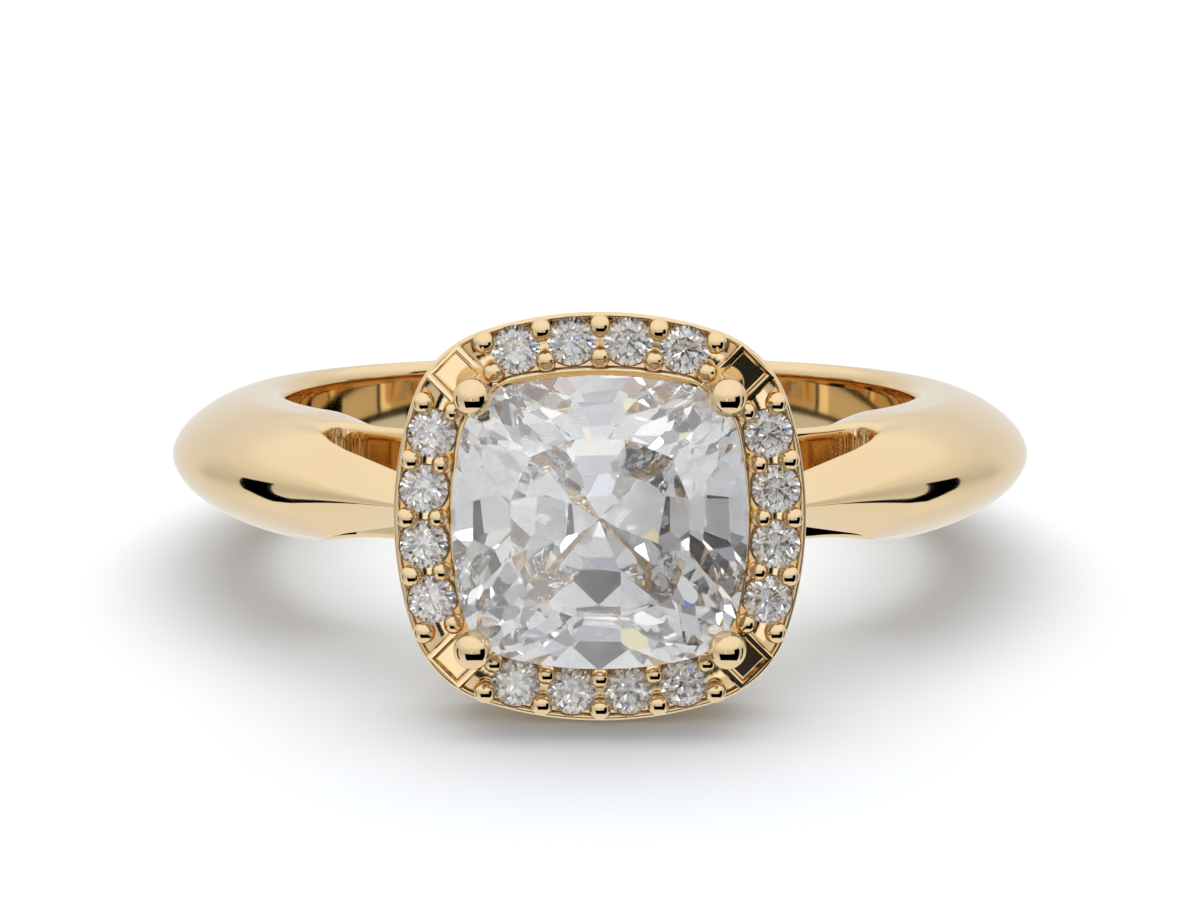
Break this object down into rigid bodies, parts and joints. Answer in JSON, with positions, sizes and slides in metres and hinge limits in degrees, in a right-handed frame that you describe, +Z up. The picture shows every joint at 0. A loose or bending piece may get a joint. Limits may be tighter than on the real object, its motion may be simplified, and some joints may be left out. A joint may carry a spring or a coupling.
{
  "type": "halo ring",
  "caption": "Finger ring with a cushion cut centre stone on claws inside a square halo of small round stones, and cathedral shoulders on a domed band.",
  "frame": {"origin": "centre of the finger bore, on its axis, halfway through the band", "axes": "The ring lies on its side as it rests by itself. -Y is towards the head, +Y towards the back of the band, X across the ring, +Z up from the floor. The bore's axis leans from +Z towards +Y by the rest angle of about 8.7 degrees, because the halo's rim and the back of the band share the floor."},
  "size_m": [0.023, 0.0266, 0.01],
  "materials": {
    "gold": "polished yellow gold",
    "centre_stone": "polished, colourless, high refraction",
    "halo_stones": "polished, colourless, high refraction"
  },
  "bodies": {
    "root": {"mounting": "gold", "centre_stone": "centre_stone", "halo_stone_01": "halo_stones", "halo_stone_02": "halo_stones", "halo_stone_03": "halo_stones", "halo_stone_04": "halo_stones", "halo_stone_05": "halo_stones", "halo_stone_06": "halo_stones", "halo_stone_07": "halo_stones", "halo_stone_08": "halo_stones", "halo_stone_09": "halo_stones", "halo_stone_10": "halo_stones", "halo_stone_11": "halo_stones", "halo_stone_12": "halo_stones", "halo_stone_13": "halo_stones", "halo_stone_14": "halo_stones", "halo_stone_15": "halo_stones", "halo_stone_16": "halo_stones"}
  },
  "joints": []
}
